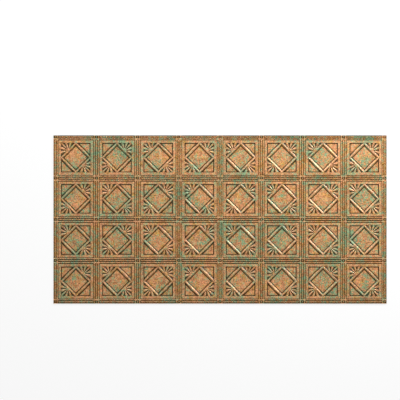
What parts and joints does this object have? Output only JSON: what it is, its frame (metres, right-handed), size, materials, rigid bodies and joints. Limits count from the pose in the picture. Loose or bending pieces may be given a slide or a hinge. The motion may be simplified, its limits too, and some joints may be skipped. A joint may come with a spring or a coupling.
{
  "type": "vinyl ceiling tile",
  "caption": "Thin thermoformed vinyl ceiling tile with an aged-copper pressed-tin relief: reeded bands frame coffers with diamonds and corner fans; glued or laid overhead.",
  "frame": {"origin": "middle of the tile's outline, in the plane that its lowest undersides rest on", "axes": "+X along the tile's length, +Z out of its decorated face"},
  "size_m": [1.2318, 0.6224, 0.0042],
  "materials": {
    "aged_copper_vinyl": "semi-gloss vinyl film with an aged copper and verdigris print"
  },
  "bodies": {
    "root": {"ceiling_tile": "aged_copper_vinyl"}
  },
  "joints": []
}
